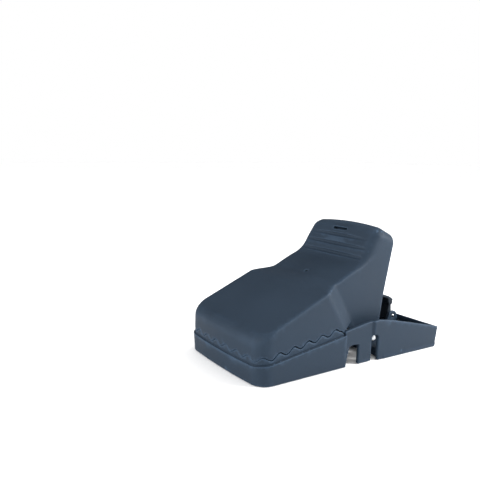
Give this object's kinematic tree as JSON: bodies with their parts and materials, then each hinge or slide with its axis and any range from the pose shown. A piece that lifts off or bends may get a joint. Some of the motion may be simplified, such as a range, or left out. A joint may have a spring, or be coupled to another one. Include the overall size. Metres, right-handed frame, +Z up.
{
  "type": "snap rat trap",
  "caption": "Plastic snap trap for rats: long base with a toothed lower jaw, sprung toothed upper jaw with a raised grooved handle, trip treadle and holding hook.",
  "frame": {"origin": "middle of the underside of the closed trap", "axes": "+Z up, -Y towards the front of the mouth, +Y towards the tail, X across the trap"},
  "size_m": [0.0836, 0.1478, 0.0823],
  "materials": {
    "black_plastic": "satin moulded black plastic with a fine grain",
    "inner_plastic": "matt moulded black plastic",
    "steel": "drawn bright steel",
    "spring_steel": "drawn spring wire, bright zinc"
  },
  "bodies": {
    "base": {"lower_jaw": "black_plastic", "hinge_pin": "steel", "treadle_pin": "steel", "latch_pin": "steel"},
    "jaw": {"upper_jaw": "black_plastic", "right_spring": "spring_steel", "left_spring": "spring_steel"},
    "pedal": {"treadle": "inner_plastic"},
    "cup": {"bait_cup": "inner_plastic"},
    "link": {"trip_link": "spring_steel"},
    "hook": {"latch_hook": "inner_plastic"}
  },
  "joints": [
    {"name": "jaw_hinge", "type": "hinge", "parent": "base", "child": "jaw", "pos_m": [0, 0.0155, 0.0144], "axis": [-1, 0, 0], "range_deg": [0, 58], "stiffness_Nm_per_rad": 0.6, "springref_deg": -57.3, "deforming": ["right_spring", "left_spring"]},
    {"name": "treadle_hinge", "type": "hinge", "parent": "base", "child": "pedal", "pos_m": [0, -0.0165, 0.0052], "axis": [-1, 0, 0], "range_deg": [0, 8.5]},
    {"name": "cup_slide", "type": "slide", "parent": "pedal", "child": "cup", "axis": [0, 0, -1], "range_m": [0, 0.016]},
    {"name": "link_slide", "type": "slide", "parent": "base", "child": "link", "axis": [0, 1, 0], "range_m": [0, 0.0011]},
    {"name": "hook_hinge", "type": "hinge", "parent": "base", "child": "hook", "pos_m": [0, 0.0651, 0.0138], "axis": [1, 0, 0], "range_deg": [0, 12.2]}
  ],
  "couplings": [
    {"joint": "link_slide", "follows": "treadle_hinge", "m_per_rad": 0.007},
    {"joint": "hook_hinge", "follows": "treadle_hinge", "ratio": 1.41}
  ]
}
